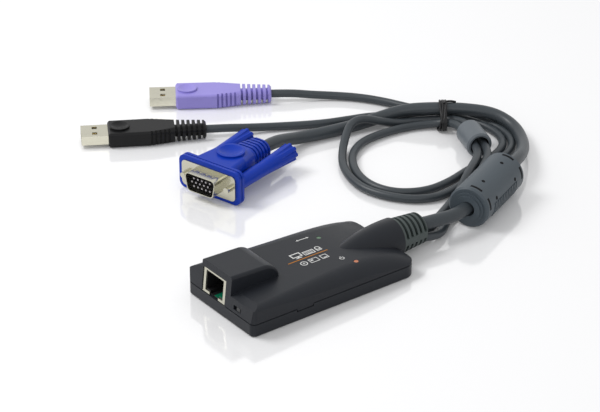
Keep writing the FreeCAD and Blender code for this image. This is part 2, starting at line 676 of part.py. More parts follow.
# ---- recovery switch behind the front wall ----
switch_front = "-case_length / 2 + wall + 0.1"
knob_low = "switch_z - knob_height / 2"
case_block = slab("switch_block", (switch_front, switch_front + " + switch_depth"),
                  ("switch_y - switch_width / 2", "switch_y + switch_width / 2"),
                  (board_top, board_top + " + switch_height"))
switch_slot = slab("switch_slot", (switch_front + " - 1", switch_front + " + 2.2"),
                   ("switch_y - window_width / 2 - 0.4", "switch_y + window_width / 2 + 0.4"),
                   (knob_low + " - knob_play", knob_low + " + knob_height + knob_play"))
keep("switch_body", cut("switch_form", case_block, [switch_slot]))
knob_y = "switch_y - switch_travel / 2"
keep("switch_slider", slab("slider", (switch_front + " - knob_reach", switch_front + " + 2"),
                           (knob_y + " - knob_width / 2", knob_y + " + knob_width / 2"),
                           (knob_low, knob_low + " + knob_height")))

# ---- strain relief: a turned boot whose rings are joined by a spine on each side ----
boot = turned("boot", [
    ("-neck_length - collar_thick", 0), ("boot_length", 0), ("boot_length", "boot_tip - boot_edge"),
    ("boot_length - boot_edge", "boot_tip"), ("0", "boot_root"), ("0", "boot_neck"),
    ("-neck_length - 0.1", "boot_neck"), ("-neck_length - 0.1", "collar"),
    ("-neck_length - collar_thick", "collar")])
locate(boot, "dome_end", "axis_side", "boot_axis")
grooves = []
for i, word in enumerate(("first", "second", "third", "fourth", "fifth")):
    start = "groove_start + %d * groove_pitch" % i
    groove = turned(word + "_groove", [
        (start, "groove_floor"), (start + " + groove_width", "groove_floor"),
        (start + " + groove_width", "boot_root + 1"), (start, "boot_root + 1")])
    grooves.append(locate(groove, "dome_end", "axis_side", "boot_axis"))
spines = slab("spines", ("dome_end - 1", "dome_end + boot_length + 1"),
              ("axis_side - boot_root - 2", "axis_side + boot_root + 2"),
              ("boot_axis - spine / 2", "boot_axis + spine / 2"))
cutter = cut("groove_cutter", join("all_grooves", grooves), [spines])
keep("strain_relief", cut("boot_form", boot, [cutter]))


# ---- cords ----

def rounded_path(points):
    """straight runs joined by tangent arcs, as large as the runs allow"""
    spots = [Vec(*p) for p in points]
    edges = []
    at = spots[0]
    radii = []
    for before, here, after in zip(spots, spots[1:], spots[2:]):
        back, on = before - here, after - here
        reach = 0.45 * min(back.Length, on.Length)
        back.normalize()
        on.normalize()
        turn = math.pi - back.getAngle(on)
        radius = reach / math.tan(turn / 2)
        start, end = here + back * reach, here + on * reach
        centre = here + (back + on).normalize() * math.hypot(reach, radius)
        middle = centre + (here - centre).normalize() * radius
        edges.append(Part.LineSegment(at, start).toShape())
        edges.append(Part.Arc(start, middle, end).toShape())
        at = end
        radii.append(radius)
    edges.append(Part.LineSegment(at, spots[-1]).toShape())
    return Part.Wire(edges), radii


def cord(name, points, size):
    path, radii = rounded_path(points)
    width = number(size)
    heading = (Vec(*points[1]) - Vec(*points[0])).normalize()
    section = Part.Wire([Part.makeCircle(width / 2, Vec(*points[0]), heading)])
    tube = path.makePipeShell([section], True, False, 0)
    ratio = tube.Volume / (math.pi * width ** 2 / 4 * path.Length)
    print(name, "length %.1f, volume ratio %.4f, bend radii" % (path.Length, ratio),
          " ".join("%.0f" % r for r in radii), "smallest %.1f diameters" % (min(radii) / width))
    item = doc.addObject("Part::Feature", name + "_tube")
    item.Shape = tube
    item.Placement = FreeCAD.Placement()
    return keep(name, item)


video_route = [
    (59.5, -3, 10), (67, -4.6, 10), (83.2, -6.4, 9.75), (108.6, 5.4, 9.75),
    (135.4, 17.7, 9.75), (149, 28.2, 5.8), (158, 39.4, 4.3), (163.4, 51.4, 5.0),
    (160.9, 63.4, 7.6), (151.3, 74, 8.4), (139.3, 83.9, 8.4), (129, 92.9, 6.9),
    (118, 97.3, 4.2), (107, 99.5, 3.1), (95, 100.8, 3.1), (84.5, 103, 3.1),
    (75, 104.3, 3.7), (66, 102.8, 6.2), (57.3, 100.3, 8.3), (49.5, 98.1, 8.45)]
purple_route = [
    (59.5, -5.3, 4.9), (66.5, -5.9, 3.2), (74, -3.6, 2.1), (81.2, 2.7, 2.1),
    (91.9, 8.3, 2.1), (104.2, 14.2, 3.0), (116.6, 21.9, 6.4), (134, 34.3, 6.4),
    (140.5, 51.6, 6.4), (146.8, 68.8, 5.6), (142.6, 81, 2.9), (133, 87.5, 2.1),
    (124.5, 89.9, 2.3), (115, 92.2, 5.3), (106.5, 94.6, 8.6), (98.7, 94.1, 8.7),
    (91.2, 89.3, 5.8), (84.4, 82.4, 2.8), (77.2, 72.6, 2.1), (72.2, 60.6, 2.1),
    (70.7, 48.1, 2.1), (74.9, 36.2, 2.1), (83.4, 26, 2.1), (94.5, 21.7, 2.1),
    (106.8, 24.2, 2.1), (121, 28.9, 2.1), (135.9, 32.2, 2.1), (148.9, 37.4, 2.1),
    (156.5, 47, 2.1), (158.8, 58.5, 2.1), (157.5, 70.5, 2.1), (152.5, 82.5, 2.9),
    (144.6, 91.6, 2.1), (138.8, 101.6, 2.1), (134, 112.5, 2.1), (127, 123.5, 2.1),
    (118.5, 132.3, 2.1), (109.3, 138.9, 2.7), (100.9, 144.4, 3.9), (92.8, 149.7, 3.9)]
black_route = [
    (59.5, -0.9, 4.9), (66.5, -0.6, 3.2), (73.4, 2.5, 2.1), (80.2, 7.4, 2.1),
    (90.4, 12.6, 2.1), (101.8, 18.3, 3.4), (113.2, 25.6, 6.8), (130.7, 37.4, 6.4),
    (136.5, 53.1, 6.4), (142.4, 68.9, 5.6), (139.1, 78.2, 2.9), (130.4, 83.3, 2.1),
    (121.5, 85.7, 2.1), (111, 86.7, 2.1), (99.5, 84.9, 2.1), (90.6, 79.2, 2.1),
    (83.3, 69.8, 2.1), (78.3, 58.4, 2.1), (77.9, 46.3, 2.1), (83.5, 36.4, 2.1),
    (93.6, 30.5, 2.1), (105.8, 30.1, 2.1), (118.4, 33.5, 2.1), (129.7, 35.6, 2.1),
    (139.5, 38.7, 2.1), (147.6, 44, 2.1), (152.4, 52, 2.1), (153.6, 61, 2.1),
    (152.1, 71, 2.1), (148, 81.3, 2.9), (138.5, 89.3, 2.1), (128.5, 98.3, 2.1),
    (118, 104.4, 2.1), (107, 107.8, 2.1), (96, 111.6, 2.1), (85, 117.3, 2.1),
    (73.5, 124, 2.1), (62.6, 128.8, 3.0), (53.75, 132.85, 3.9), (45.7, 137.5, 3.9)]
cord("video_cord", video_route, "video_cord_dia")
cord("usb_cord_purple", purple_route, "usb_cord_dia")
cord("usb_cord_black", black_route, "usb_cord_dia")


# ---- ferrites: a turned cover round a plain core ----

def lay(name, item, x, y, z, yaw):
    """sets a finished piece down at its place, turned about the vertical"""
    item.Placement = FreeCAD.Placement(Vec(), FreeCAD.Rotation(Vec(0, 0, 1), number(yaw)))
    locate(item, x, y, z)
    return keep(name, item)


def seat(word):
    return word + "_x", word + "_y", word + "_radius", word + "_yaw"


big_end = "big_length / 2 - big_core_length / 2"
big_rings = []
for at, way in (("0", 1), ("big_length", -1)):
    step = at + " + %d * big_step" % way
    big_rings.append([
        (at, "big_bore"), (at, "big_inner_ring"), (step, "big_inner_ring"),
        (step, "big_outer_ring"), (at + " + %d * 2 * big_step" % way, "big_outer_ring"),
        (at + " + %d * 2 * big_step" % way, "big_rim"),
        (at + " + %d * (2 * big_step + big_radius - big_rim)" % way, "big_radius")])
big_cover = turned("big_cover_form", big_rings[0] + big_rings[1][::-1] + [
    (big_end + " + big_core_length", "big_bore"),
    (big_end + " + big_core_length", "big_core"), (big_end, "big_core"),
    (big_end, "big_bore")])


def latch_marks():
    """two rows of latch slots and release holes round the side of the cover"""
    marks = []
    for row, side in (("upper", -1), ("lower", 1)):
        angle = sizes["latch_middle"] + side * sizes["latch_row"]
        turn = FreeCAD.Rotation(Vec(1, 0, 0), angle)
        out, across = turn.multVec(Vec(0, 0, 1)), turn.multVec(Vec(0, 1, 0))
        for at, tag in (("latch_slot_at", "near"), ("big_length - latch_slot_at", "far")):
            mark = doc.addObject("Part::Box", "slot_%s_%s" % (row, tag))
            bind(mark, "Length", "latch_slot_width")
            bind(mark, "Width", "latch_slot_length")
            bind(mark, "Height", "latch_depth + 2")
            mark.Placement = FreeCAD.Placement(Vec(), turn)
            reach = "(big_radius - latch_depth)"
            marks.append(locate(mark, at + " - latch_slot_width / 2", *[
                "%g * %s - (%g) * latch_slot_length / 2" % (o, reach, a)
                for o, a in ((out.y, across.y), (out.z, across.z))]))
        for at, tag in (("latch_dot_at", "near"), ("big_length - latch_dot_at", "far")):
            mark = doc.addObject("Part::Cylinder", "dot_%s_%s" % (row, tag))
            bind(mark, "Radius", "latch_dot")
            bind(mark, "Height", "latch_depth + 2")
            mark.Placement = FreeCAD.Placement(Vec(), turn)
            marks.append(locate(mark, at, *["%g * (big_radius - latch_depth)" % o
                                            for o in (out.y, out.z)]))
    return marks


big_cover = cut("big_cover_marked", big_cover, latch_marks())
lay("large_ferrite_cover", big_cover, *seat("big"))
big_core = turned("big_core_form", [
    (big_end + " + 0.1", "big_bore + 0.4"),
    (big_end + " + big_core_length - 0.1", "big_bore + 0.4"),
    (big_end + " + big_core_length - 0.1", "big_core"), (big_end + " + 0.1", "big_core")])
lay("large_ferrite_core", big_core, *seat("big"))
small_end = "small_length / 2 - small_core_length / 2"
small_cover = turned("small_cover_form", [
    ("0", "small_bore"), ("0", "small_radius - small_edge"), ("small_edge", "small_radius"),
    ("small_length - small_edge", "small_radius"),
    ("small_length", "small_radius - small_edge"), ("small_length", "small_bore"),
    (small_end + " + small_core_length", "small_bore"),
    (small_end + " + small_core_length", "small_core"), (small_end, "small_core"),
    (small_end, "small_bore")])
lay("small_ferrite_cover", small_cover, "small_x", "small_y", "small_rise", "small_yaw")
small_core = turned("small_core_form", [
    (small_end + " + 0.1", "small_bore + 0.1"),
    (small_end + " + small_core_length - 0.1", "small_bore + 0.1"),
    (small_end + " + small_core_length - 0.1", "small_core"),
    (small_end + " + 0.1", "small_core")])
lay("small_ferrite_core", small_core, "small_x", "small_y", "small_rise", "small_yaw")

# ---- tie round the crossing strands: a flat band drawn tight over them ----
tie_points = [
    (-8.7, 0.42, 0, -0.5), (8.0, 0.42, 0, -0.5), (9.8, 1.7, 1, -0.2), (10.5, 3.4, 1, 0.1),
    (10.3, 5.7, 1, 0.5), (9.0, 6.9, 0.7, 1), (3.4, 11.15, 0.5, 1), (0.6, 11.6, 0, 1),
    (-1.7, 11.1, -0.6, 1), (-3.4, 9.6, -1, 0.7), (-9.5, 4.5, -0.8, 0.8), (-10.4, 3.0, -1, 0.2),
    (-10.3, 1.6, -1, -0.2)]
tie = new_body("tie")
band = sketch_on(tie, "YZ_Plane", "band")
loop(band, [("%g" % y, "%g" % z) for y, z, _, _ in tie_points])
loop(band, [("%g + %g * tie_thick" % (y, a), "%g + %g * tie_thick" % (z, b))
            for y, z, a, b in tie_points])
pad(tie, band, "tie_width", middle=True)
lay("cable_tie", tie, "tie_x", "tie_y", "0", "tie_yaw")


# ---- USB plugs: origin at the tail end, the mouth at -usb_length ----

def thumb_disc(word, radius, at, top):
    """a raised round disc on a face, and the ball that dishes it"""
    disc = rod(word + "_disc", radius, "disc_rise + 1", at, "0", top + " - 1")
    ball_radius = "dish_bow * " + radius
    dish = ball(word + "_dish", ball_radius, at, "0",
                "%s + disc_rise + %s - dish_share * %s" % (top, ball_radius, radius))
    return disc, dish


def usb_plug(word):
    place = (word + "_x", word + "_y", "usb_axis", word + "_yaw")
    face = "-(usb_length - usb_shell_out)"
    height = "usb_body_height / 2"
    slim = ("usb_body_width - 2 * usb_nose", "usb_body_height - 2 * usb_nose",
            "usb_body_edge - usb_nose / 2")
    full = ("usb_body_width", "usb_body_height", "usb_body_edge")
    body = moulded_form(word + "_body", [
        (face,) + slim, (face + " + usb_nose",) + full, ("-usb_taper_start",) + full,
        ("-usb_waist_at", "usb_waist_width", "usb_tail_height", "usb_waist_edge"),
        ("-usb_nose", "usb_tail_width", "usb_tail_height", "usb_tail_edge"),
        ("0", "usb_tail_width - 2 * usb_nose", "usb_tail_height - 2 * usb_nose",
         "usb_tail_edge - usb_nose / 2")])
    socket = slab(word + "_socket", (face + " - 1", face + " + usb_shell_in"),
                  ("-usb_shell_width / 2 - 0.03", "usb_shell_width / 2 + 0.03"),
                  ("-usb_shell_height / 2 - 0.03", "usb_shell_height / 2 + 0.03"))
    disc, dish = thumb_disc(word, "usb_disc", "-usb_disc_at", height)
    cuts = [socket, dish]
    slope = "(usb_body_width - usb_waist_width) / 2 / (usb_taper_start - usb_waist_at)"
    for i in range(5):
        start = "-comb_start + %d * comb_pitch" % i
        inner = "usb_body_width / 2 - comb_depth - %d * comb_pitch * %s" % (i, slope)
        outer = slab("%s_comb_%d" % (word, i), (start, start + " + comb_slot"),
                     ("-usb_body_width", "usb_body_width"),
                     ("-usb_body_height", "usb_body_height"))
        middle = slab("%s_web_%d" % (word, i), (start + " - 1", start + " + comb_slot + 1"),
                      ("-(%s)" % inner, inner), ("-usb_body_height - 1", "usb_body_height + 1"))
        cuts.append(cut("%s_comb_pair_%d" % (word, i), outer, [middle]))
    for i in range(6):
        start = "-rib_start + %d * rib_pitch" % i
        cuts.append(turned("%s_rib_slot_%d" % (word, i), [
            (start, "usb_core"), (start + " + rib_slot", "usb_core"),
            (start + " + rib_slot", "usb_body_width"), (start, "usb_body_width")]))
    lay("usb_overmould_" + word, cut(word + "_mould", join(word + "_solid", [body, disc]), cuts),
        *place)

    side, rise = "usb_shell_width / 2", "usb_shell_height / 2"
    back = face + " + usb_shell_in"
    can = slab(word + "_can", ("-usb_length", back), ("-" + side, side), ("-" + rise, rise))
    inside = slab(word + "_inside", ("-usb_length - 1", back + " + 1"),
                  ("-%s + usb_metal" % side, side + " - usb_metal"),
                  ("-%s + usb_metal" % rise, rise + " - usb_metal"))
    holes = []
    for sign in (-1, 1):
        y = "%d * usb_shell_width * 0.24" % sign
        x = "-usb_length + 5.2"
        holes.append(slab("%s_hole_%d" % (word, sign > 0), (x, x + " + usb_hole"),
                          (y + " - usb_hole / 2", y + " + usb_hole / 2"), ("-5", "5")))
    lay("usb_shell_" + word, cut(word + "_can_form", can, [inside] + holes), *place)
    low = "-%s + usb_metal + 0.03" % rise
    tongue = slab(word + "_tongue", ("-usb_length + 0.6", back + " - 0.1"),
                  ("-%s + usb_metal + 0.05" % side, side + " - usb_metal - 0.05"),
                  (low, low + " + usb_tongue_thick"))
    root = slab(word + "_root", (face + " + 0.2", back + " - 0.1"),
                ("-%s + usb_metal + 0.05" % side, side + " - usb_metal - 0.05"),
                (low, rise + " - usb_metal - 0.05"))
    top = low + " + usb_tongue_thick"
    slot = slab(word + "_slot", (face + " - 1", face + " + 1.4"), ("-4.5", "4.5"),
                (top, top + " + 0.3"))
    lay("usb_tongue_" + word, cut(word + "_tongue_form",
                                  join(word + "_tongue_root", [tongue, root]), [slot]), *place)
    strips = [slab(word + "_bar", (face + " + 0.2", face + " + 1.2"), ("-4.4", "4.4"),
                   (top, top + " + 0.15"))]
    for i, y in enumerate((-3.5, -1.25, 1.25, 3.5)):
        strips.append(slab("%s_strip_%d" % (word, i), ("-usb_length + 1.5", face + " + 0.6"),
                           ("%g - usb_contact / 2" % y, "%g + usb_contact / 2" % y),
                           (top, top + " + 0.15")))
    lay("usb_contacts_" + word, join(word + "_strips", strips), *place)


usb_plug("black")
usb_plug("purple")

# ---- VGA plug: origin at the tail end, the plate at -vga_length ----
vga_place = ("vga_x", "vga_y", "vga_z", "vga_yaw")
plate_front = "-vga_length"
plate_back = "-vga_length + plate_thick"
flange_back = plate_back + " + flange_thick"


def rounded_block(name, width, height, start, depth, radius):
    """a block along X with rounded long edges"""
    body = new_body(name)
    pad(body, rounded_face(body, name + "_face", start, width, height, radius), depth)
    return body


def d_form(name, inset, start, depth):
    """the D outline of the connector, wide side up"""
    body = new_body(name)
    made = sketch_on(body, "YZ_Plane", name + "_face", start)
    w = "dshell_width / 2 - (%s)" % inset
    z = "(dshell_height / 2 - (%s))" % inset
    loop(made, [("-(%s) + 2 * dshell_slope" % w, "-" + z), ("%s - 2 * dshell_slope" % w, "-" + z),
                (w, z), ("-(%s)" % w, z)])
    block = pad(body, made, depth)
    soften(body, block, "dshell_corner - (%s)" % inset, lambda e: e.BoundBox.XLength > 0.3)
    return body


def screw_rods(name, radius, start, length):
    return [rod("%s_%d" % (name, sign > 0), radius, length, start,
                "%d * screw_side" % sign, "0", "x") for sign in (-1, 1)]


plate = rounded_block("plate", "plate_width", "plate_height", plate_front, "plate_thick",
                      "plate_corner")
d_outer = d_form("d_outer", "0", plate_front + " - dshell_out", "dshell_out + plate_thick")
d_inner = d_form("d_inner", "dshell_metal", plate_front + " - dshell_out - 1",
                 "dshell_out + plate_thick + 2")
dimples = []
for i, face_z in ((-1.5, 1), (-0.5, 1), (0.5, 1), (1.5, 1), (-1, -1), (0, -1), (1, -1)):
    level = "%d * (dshell_height / 2 - dimple_depth) + %d" % (face_z, min(face_z, 0))
    dimples.append(rod("dimple_%d_%d" % (2 * i + 3, face_z > 0), "dimple", "1",
                       plate_front + " - dimple_at", "(%g) * dimple_pitch" % i, level))
lay("vga_shell", cut("vga_shell_form", join("vga_metal", [plate, d_outer]),
                     [d_inner] + dimples + screw_rods("plate_hole", "screw_radius + screw_play",
                                            plate_front + " - 1", "plate_thick + 2")), *vga_place)
insert_start = plate_front + " - 1.2"
d_plug = d_form("d_plug", "dshell_metal + 0.05", insert_start, "1.2 + plate_thick")
pins, pin_bores = [], []
for line, (height, shift) in enumerate(((1, 0), (0, 0.5), (-1, 0))):
    for i in range(5):
        spot = ("(%g) * contact_pitch" % (i - 2 + shift - 0.17), "(%g) * row_pitch" % height)
        tag = "%d%d" % (line, i)
        pins.append(rod("pin_" + tag, "contact_radius", "1.2 + plate_thick + pin_length - 1.2",
                        plate_front + " - pin_length", spot[0], spot[1], "x"))
        pin_bores.append(rod("bore_" + tag, "contact_radius + 0.03", "4",
                             plate_front + " - 2", spot[0], spot[1], "x"))
lay("vga_insulator", cut("d_plug_form", d_plug, pin_bores), *vga_place)
pin_block = slab("pin_block", (plate_back, plate_back + " + 0.6"), ("-6", "6"),
                 ("-2.8", "2.8"))
lay("vga_pins", join("pin_field", pins + [pin_block]), *vga_place)

flange_face = ("flange_width", "flange_height")
flange_solid = rounded_block("flange_solid", *flange_face, plate_back, "flange_thick",
                             "flange_corner")
groove_at = plate_back + " + flange_groove_at"
groove_core = rounded_block("groove_core", "flange_width - 2 * flange_groove",
                            "flange_height - 2 * flange_groove", groove_at + " - 1",
                            "flange_groove + 2", "flange_corner - flange_groove")
groove_plate = slab("groove_plate", (groove_at, groove_at + " + flange_groove"),
                    ("-flange_width", "flange_width"), ("-flange_height", "flange_height"))
flange = cut("flange", flange_solid, [cut("flange_ring", groove_plate, [groove_core])])
hood = moulded_form("hood", [
    (flange_back + " - 0.5", "hood_width", "hood_height", "hood_edge"),
    ("-hood_waist_at", "hood_waist_width", "hood_height", "hood_edge"),
    ("-hood_neck_at", "hood_neck_width", "hood_neck_height", "hood_neck_edge"),
    ("-hood_nose", "hood_tail_width", "hood_tail_height", "hood_tail_edge"),
    ("0", "hood_tail_width - 2 * hood_nose", "hood_tail_height - 2 * hood_nose",
     "hood_tail_edge - hood_nose")])
hood_disc, hood_dish = thumb_disc("hood", "hood_disc", "-hood_disc_at", "hood_height / 2")
tail_slots = []
for i in range(5):
    start = "-hood_rib_start + %d * rib_pitch" % i
    tail_slots.append(turned("tail_slot_%d" % i, [
        (start, "hood_core"), (start + " + hood_rib_slot", "hood_core"),
        (start + " + hood_rib_slot", "hood_width"), (start, "hood_width")]))
pin_recess = slab("pin_recess", (plate_back + " - 1", plate_back + " + 0.65"),
                  ("-6.05", "6.05"), ("-2.85", "2.85"))
lay("vga_hood", cut("hood_form", join("hood_solid", [flange, hood, hood_disc]),
                    [hood_dish, pin_recess] + tail_slots
                    + screw_rods("flange_hole", "screw_radius + screw_play",
                                 plate_back + " - 1", "flange_thick + 1.2")
                    + screw_rods("sleeve_groove", "sleeve_radius + sleeve_play", flange_back,
                                 "sleeve_length")), *vga_place)

for sign, word in ((-1, "right"), (1, "left")):
    y = "%d * screw_side" % sign
    thread = rod(word + "_thread", "thread_radius", "screw_out + 0.2", plate_front + " - screw_out",
                 y, "0", "x")
    shank = rod(word + "_shank", "screw_radius", "shank_length", plate_front, y, "0", "x")
    lay("jackscrew_" + word, join(word + "_screw", [thread, shank]), *vga_place)
    grip_start = flange_back + " + sleeve_length"
    sleeve = rod(word + "_sleeve", "sleeve_radius", "sleeve_length - sleeve_gap",
                 flange_back + " + sleeve_gap", y, "0", "x")
    grip = cone(word + "_grip", "sleeve_radius", "grip_radius", "grip_length", grip_start,
                y, "0")
    hole = rod(word + "_hole", "screw_radius", "shank_length - plate_thick - flange_thick",
               flange_back, y, "0", "x")
    flutes = []
    for i in range(8):
        angle = math.radians(45 * i + 22.5)
        flutes.append(rod("%s_flute_%d" % (word, i), "flute", "grip_length",
                          grip_start + " + 1.5",
                          "%s + %g * (grip_radius + flute_out)" % (y, math.cos(angle)),
                          "%g * (grip_radius + flute_out)" % math.sin(angle), "x"))
    lay("thumbscrew_" + word, cut(word + "_thumb", join(word + "_thumb_solid", [sleeve, grip]),
                                  [hole] + flutes), *vga_place)

doc.recompute()
failed = [item.Name for item in doc.Objects if set(item.State) & {"Invalid", "Error"}]
if failed:
    raise RuntimeError("failed objects: " + ", ".join(failed))
for name, item in parts.items():
    if item.Shape.isNull() or not item.Shape.isValid() or not item.Shape.Solids:
        raise RuntimeError("bad shape: " + name)
    if len(item.Shape.Solids) > 1:
        print("several solids in", name, len(item.Shape.Solids))
os.makedirs("parts", exist_ok=True)
for name, item in parts.items():
    item.Shape.exportStep("parts/" + name + ".step")
print(len(parts), "parts written")
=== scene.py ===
import json
import math
import bpy
import bmesh
from mathutils import Matrix, Vector
from mathutils.bvhtree import BVHTree


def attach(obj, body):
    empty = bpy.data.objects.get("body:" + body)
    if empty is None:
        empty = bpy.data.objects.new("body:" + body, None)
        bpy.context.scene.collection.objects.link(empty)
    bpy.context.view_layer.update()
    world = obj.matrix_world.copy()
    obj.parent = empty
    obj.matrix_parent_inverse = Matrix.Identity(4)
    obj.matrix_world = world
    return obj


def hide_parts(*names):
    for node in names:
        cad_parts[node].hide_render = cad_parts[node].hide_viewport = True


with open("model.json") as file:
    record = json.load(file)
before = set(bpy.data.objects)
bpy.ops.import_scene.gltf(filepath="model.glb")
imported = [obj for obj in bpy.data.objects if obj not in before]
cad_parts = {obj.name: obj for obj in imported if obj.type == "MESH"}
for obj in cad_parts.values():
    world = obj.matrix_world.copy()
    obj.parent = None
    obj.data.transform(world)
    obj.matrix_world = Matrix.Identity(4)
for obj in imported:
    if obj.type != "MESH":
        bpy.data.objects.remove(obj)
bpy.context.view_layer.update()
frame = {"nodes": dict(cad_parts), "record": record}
nodes = frame["nodes"]
mm = 0.001
print("frame loaded")


def addLink(tree, fromNode, fromSocket, toNode, toSocket):
    tree.links.new(fromNode.outputs[fromSocket], toNode.inputs[toSocket])


def addNode(tree, kind, **values):
    node = tree.nodes.new(kind)
    for key, value in values.items():
        if key in node.inputs:
            node.inputs[key].default_value = value
        else:
            setattr(node, key, value)
    return node


def addMath(tree, operation, first, second):   # each input is a number or (node, socket)
    node = addNode(tree, "ShaderNodeMath", operation=operation)
    for place, value in enumerate((first, second)):
        if isinstance(value, tuple):
            tree.links.new(value[0].outputs[value[1]], node.inputs[place])
        else:
            node.inputs[place].default_value = value
    return node


def makeGroup(name, inputs, outputs):
    group = bpy.data.node_groups.new(name, "ShaderNodeTree")
    for label, kind, value in inputs:
        socket = group.interface.new_socket(label, in_out="INPUT", socket_type="NodeSocket" + kind)
        if value is not None:
            socket.default_value = value
    for label, kind in outputs:
        group.interface.new_socket(label, in_out="OUTPUT", socket_type="NodeSocket" + kind)
    return group, group.nodes.new("NodeGroupInput"), group.nodes.new("NodeGroupOutput")


grainSizes = {"grainDetail": 3.0, "cloudScale": 60.0, "cloudDetail": 2.0, "noiseMiddle": 0.5,
              "sheenShare": 0.6, "bumpDistance": 0.00005}


def buildGrainGroup():   # moulded plastic: a fine spark texture over a slow cloudy tone
    group, source, sink = makeGroup("mouldGrain", [
        ("Vector", "Vector", None), ("Colour", "Color", (0.1, 0.1, 0.1, 1)),
        ("Grain Size", "Float", 2500.0), ("Grain Depth", "Float", 0.15),
        ("Roughness", "Float", 0.45), ("Patch", "Float", 0.12)],
        [("Colour", "Color"), ("Roughness", "Float"), ("Normal", "Vector")])
    grain = addNode(group, "ShaderNodeTexNoise", Detail=grainSizes["grainDetail"])
    cloud = addNode(group, "ShaderNodeTexNoise", Scale=grainSizes["cloudScale"],
                    Detail=grainSizes["cloudDetail"])
    addLink(group, source, "Vector", grain, "Vector")
    addLink(group, source, "Vector", cloud, "Vector")
    addLink(group, source, "Grain Size", grain, "Scale")
    centred = addMath(group, "SUBTRACT", (cloud, "Fac"), grainSizes["noiseMiddle"])
    speck = addMath(group, "SUBTRACT", (grain, "Fac"), grainSizes["noiseMiddle"])
    both = addMath(group, "ADD", (centred, 0), (speck, 0))
    amount = addMath(group, "MULTIPLY", (both, 0), (source, "Patch"))
    lift = addMath(group, "ADD", (amount, 0), 1.0)
    tone = addNode(group, "ShaderNodeVectorMath", operation="SCALE")
    addLink(group, source, "Colour", tone, 0)
    addLink(group, lift, 0, tone, "Scale")
    addLink(group, tone, 0, sink, "Colour")
    softer = addMath(group, "MULTIPLY", (amount, 0), grainSizes["sheenShare"])
    sheen = addMath(group, "ADD", (softer, 0), (source, "Roughness"))
    addLink(group, sheen, 0, sink, "Roughness")
    bump = addNode(group, "ShaderNodeBump", Distance=grainSizes["bumpDistance"])
    addLink(group, grain, "Fac", bump, "Height")
    addLink(group, source, "Grain Depth", bump, "Strength")
    addLink(group, bump, "Normal", sink, "Normal")
    return group


drawnSizes = {"stretch": (1, 6, 6), "lineDetail": 6.0, "stainScale": 220.0, "stainDetail": 3.0,
              "lineMiddle": 0.45, "lineSpread": 0.12, "bumpDistance": 0.00001,
              "bumpStrength": 0.05}


def buildDrawnGroup():   # rolled and drawn sheet: fine lines one way under a slow stain
    group, source, sink = makeGroup("drawnMetal", [
        ("Vector", "Vector", None), ("Colour", "Color", (0.7, 0.7, 0.7, 1)),
        ("Lines", "Float", 180.0), ("Roughness", "Float", 0.25), ("Stain", "Float", 0.07)],
        [("Colour", "Color"), ("Roughness", "Float"), ("Normal", "Vector")])
    stretch = addNode(group, "ShaderNodeMapping")
    stretch.inputs["Scale"].default_value = drawnSizes["stretch"]
    addLink(group, source, "Vector", stretch, "Vector")
    lines = addNode(group, "ShaderNodeTexNoise", Detail=drawnSizes["lineDetail"])
    addLink(group, stretch, "Vector", lines, "Vector")
    addLink(group, source, "Lines", lines, "Scale")
    cloud = addNode(group, "ShaderNodeTexNoise", Scale=drawnSizes["stainScale"],
                    Detail=drawnSizes["stainDetail"])
    addLink(group, source, "Vector", cloud, "Vector")
    darker = addMath(group, "MULTIPLY", (cloud, "Fac"), (source, "Stain"))
    keep = addMath(group, "SUBTRACT", 1.0, (darker, 0))
    tone = addNode(group, "ShaderNodeVectorMath", operation="SCALE")
    addLink(group, source, "Colour", tone, 0)
    addLink(group, keep, 0, tone, "Scale")
    addLink(group, tone, 0, sink, "Colour")
    centred = addMath(group, "SUBTRACT", (lines, "Fac"), drawnSizes["lineMiddle"])
    spread = addMath(group, "MULTIPLY", (centred, 0), drawnSizes["lineSpread"])
    dull = addMath(group, "ADD", (spread, 0), (source, "Roughness"))
    addLink(group, dull, 0, sink, "Roughness")
    bump = addNode(group, "ShaderNodeBump", Distance=drawnSizes["bumpDistance"],
                   Strength=drawnSizes["bumpStrength"])
    addLink(group, lines, "Fac", bump, "Height")
    addLink(group, bump, "Normal", sink, "Normal")
    return group


grainGroup = buildGrainGroup()
drawnGroup = buildDrawnGroup()


def startMaterial(name):
    material = bpy.data.materials.new(name)
    material.use_nodes = True
    tree = material.node_tree
    return material, tree, tree.nodes["Principled BSDF"]


def addEffect(tree, shader, group, colour, **values):
    where = addNode(tree, "ShaderNodeTexCoord")
    effect = addNode(tree, "ShaderNodeGroup", node_tree=group)
    addLink(tree, where, "Object", effect, "Vector")
    effect.inputs["Colour"].default_value = (*colour, 1)
    for label, value in values.items():
        effect.inputs[label.replace("_", " ")].default_value = value
    addLink(tree, effect, "Colour", shader, "Base Color")
    addLink(tree, effect, "Roughness", shader, "Roughness")
    addLink(tree, effect, "Normal", shader, "Normal")


def plastic(name, colour, roughness=0.45, grain=2500.0, depth=0.15, patch=0.12,
            coat=0.0, specular=0.5):
    material, tree, shader = startMaterial(name)
    shader.inputs["Coat Weight"].default_value = coat
    shader.inputs["Specular IOR Level"].default_value = specular
    addEffect(tree, shader, grainGroup, colour, Grain_Size=grain, Grain_Depth=depth,
              Roughness=roughness, Patch=patch)
    return material


def metal(name, colour, roughness=0.25, lines=180.0, stain=0.07):
    material, tree, shader = startMaterial(name)
    shader.inputs["Metallic"].default_value = 1.0
    addEffect(tree, shader, drawnGroup, colour, Lines=lines, Roughness=roughness, Stain=stain)
    return material


